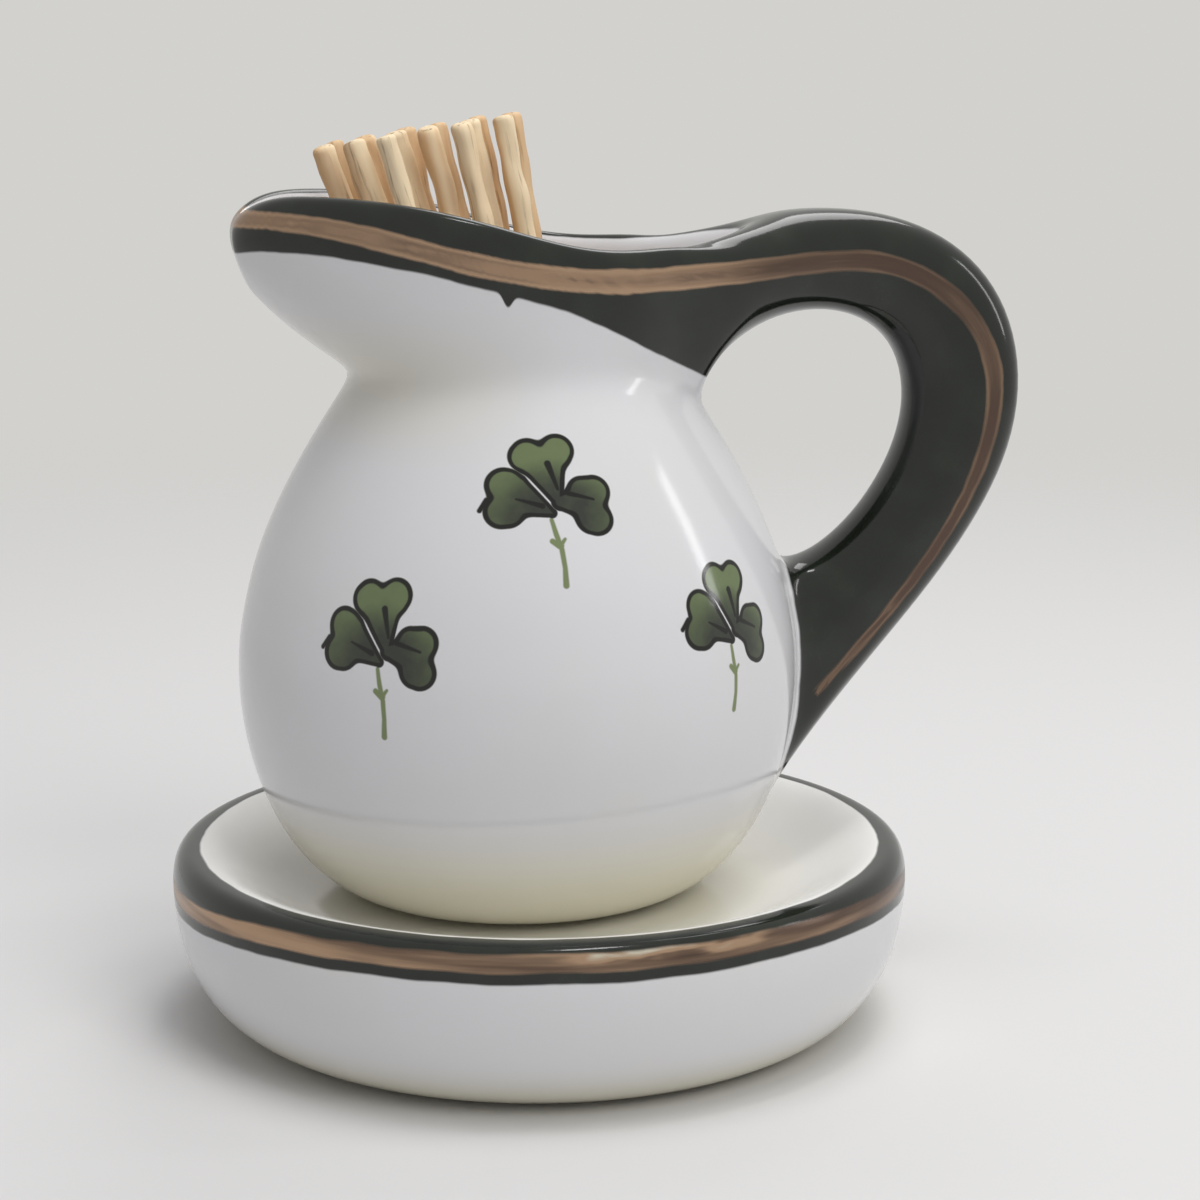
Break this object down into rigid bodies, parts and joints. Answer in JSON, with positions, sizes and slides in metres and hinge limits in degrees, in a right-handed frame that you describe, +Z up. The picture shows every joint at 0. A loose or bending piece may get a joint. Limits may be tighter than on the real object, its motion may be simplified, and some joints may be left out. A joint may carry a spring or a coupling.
{
  "type": "toothpick holder",
  "caption": "Small glazed jug with a drawn-out lip and a loop handle, standing loose in a shallow basin and holding wooden toothpicks in its mouth.",
  "frame": {"origin": "middle of the basin's foot, on the surface that it stands on", "axes": "+Z up, -X towards the jug's pouring lip, +X towards its handle"},
  "size_m": [0.0699, 0.06, 0.0733],
  "materials": {
    "porcelain": "gloss glaze",
    "green_glaze": "gloss glaze",
    "pick_wood": "bare"
  },
  "bodies": {
    "basin": {"basin": "porcelain"},
    "jug": {"jug_body": "porcelain", "jug_handle": "green_glaze"},
    "toothpick_01": {"toothpick_01": "pick_wood"},
    "toothpick_02": {"toothpick_02": "pick_wood"},
    "toothpick_03": {"toothpick_03": "pick_wood"},
    "toothpick_04": {"toothpick_04": "pick_wood"},
    "toothpick_05": {"toothpick_05": "pick_wood"},
    "toothpick_06": {"toothpick_06": "pick_wood"},
    "toothpick_07": {"toothpick_07": "pick_wood"},
    "toothpick_08": {"toothpick_08": "pick_wood"},
    "toothpick_09": {"toothpick_09": "pick_wood"},
    "toothpick_10": {"toothpick_10": "pick_wood"},
    "toothpick_11": {"toothpick_11": "pick_wood"},
    "toothpick_12": {"toothpick_12": "pick_wood"},
    "toothpick_13": {"toothpick_13": "pick_wood"},
    "toothpick_14": {"toothpick_14": "pick_wood"}
  },
  "joints": [
    {"name": "jug_lift", "type": "slide", "parent": "basin", "child": "jug", "axis": [0, 0, 1], "range_m": [0, 0.03]},
    {"name": "toothpick_01_pull", "type": "slide", "parent": "jug", "child": "toothpick_01", "axis": [-0.3307, 0, 0.9437], "range_m": [0, 0.06]},
    {"name": "toothpick_02_pull", "type": "slide", "parent": "jug", "child": "toothpick_02", "axis": [-0.3197, 0, 0.9475], "range_m": [0, 0.06]},
    {"name": "toothpick_03_pull", "type": "slide", "parent": "jug", "child": "toothpick_03", "axis": [-0.3086, 0, 0.9512], "range_m": [0, 0.06]},
    {"name": "toothpick_04_pull", "type": "slide", "parent": "jug", "child": "toothpick_04", "axis": [-0.2974, 0, 0.9548], "range_m": [0, 0.06]},
    {"name": "toothpick_05_pull", "type": "slide", "parent": "jug", "child": "toothpick_05", "axis": [-0.286, 0, 0.9582], "range_m": [0, 0.06]},
    {"name": "toothpick_06_pull", "type": "slide", "parent": "jug", "child": "toothpick_06", "axis": [-0.2746, 0, 0.9616], "range_m": [0, 0.06]},
    {"name": "toothpick_07_pull", "type": "slide", "parent": "jug", "child": "toothpick_07", "axis": [-0.263, 0, 0.9648], "range_m": [0, 0.06]},
    {"name": "toothpick_08_pull", "type": "slide", "parent": "jug", "child": "toothpick_08", "axis": [-0.2513, 0, 0.9679], "range_m": [0, 0.06]},
    {"name": "toothpick_09_pull", "type": "slide", "parent": "jug", "child": "toothpick_09", "axis": [-0.2395, 0, 0.9709], "range_m": [0, 0.06]},
    {"name": "toothpick_10_pull", "type": "slide", "parent": "jug", "child": "toothpick_10", "axis": [-0.2275, 0, 0.9738], "range_m": [0, 0.06]},
    {"name": "toothpick_11_pull", "type": "slide", "parent": "jug", "child": "toothpick_11", "axis": [-0.2155, 0, 0.9765], "range_m": [0, 0.06]},
    {"name": "toothpick_12_pull", "type": "slide", "parent": "jug", "child": "toothpick_12", "axis": [-0.2034, 0, 0.9791], "range_m": [0, 0.06]},
    {"name": "toothpick_13_pull", "type": "slide", "parent": "jug", "child": "toothpick_13", "axis": [-0.1912, 0, 0.9816], "range_m": [0, 0.06]},
    {"name": "toothpick_14_pull", "type": "slide", "parent": "jug", "child": "toothpick_14", "axis": [-0.1789, 0, 0.9839], "range_m": [0, 0.06]}
  ]
}
